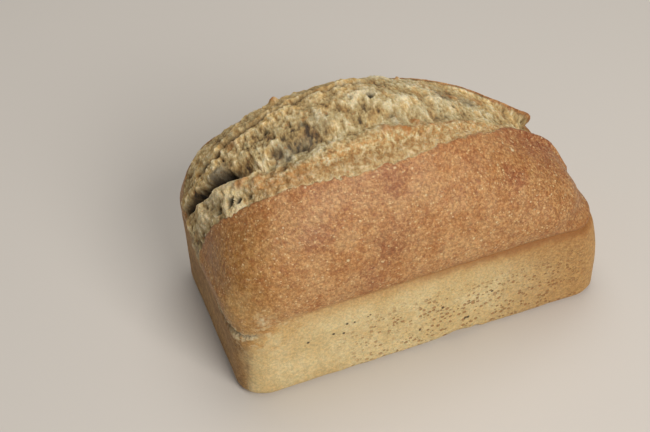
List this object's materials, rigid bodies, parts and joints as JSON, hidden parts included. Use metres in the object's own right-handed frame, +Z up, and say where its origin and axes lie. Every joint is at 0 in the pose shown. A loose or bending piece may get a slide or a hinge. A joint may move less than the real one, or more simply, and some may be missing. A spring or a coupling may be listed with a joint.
{
  "type": "tin loaf",
  "caption": "Loaf of bread baked in a straight-sided tin, with a flat-walled base, a browned domed crust and one long torn split along the top.",
  "frame": {"origin": "middle of the bounding box, on the flat base", "axes": "+X along the loaf towards its lower end, +Y towards the side behind the split, +Z up"},
  "size_m": [0.191, 0.104, 0.1208],
  "materials": {
    "bread": "baked crust, matt on the tin wall and faintly satin on the browned dome, rough and pale where it tore"
  },
  "bodies": {
    "root": {"loaf": "bread"}
  },
  "joints": []
}
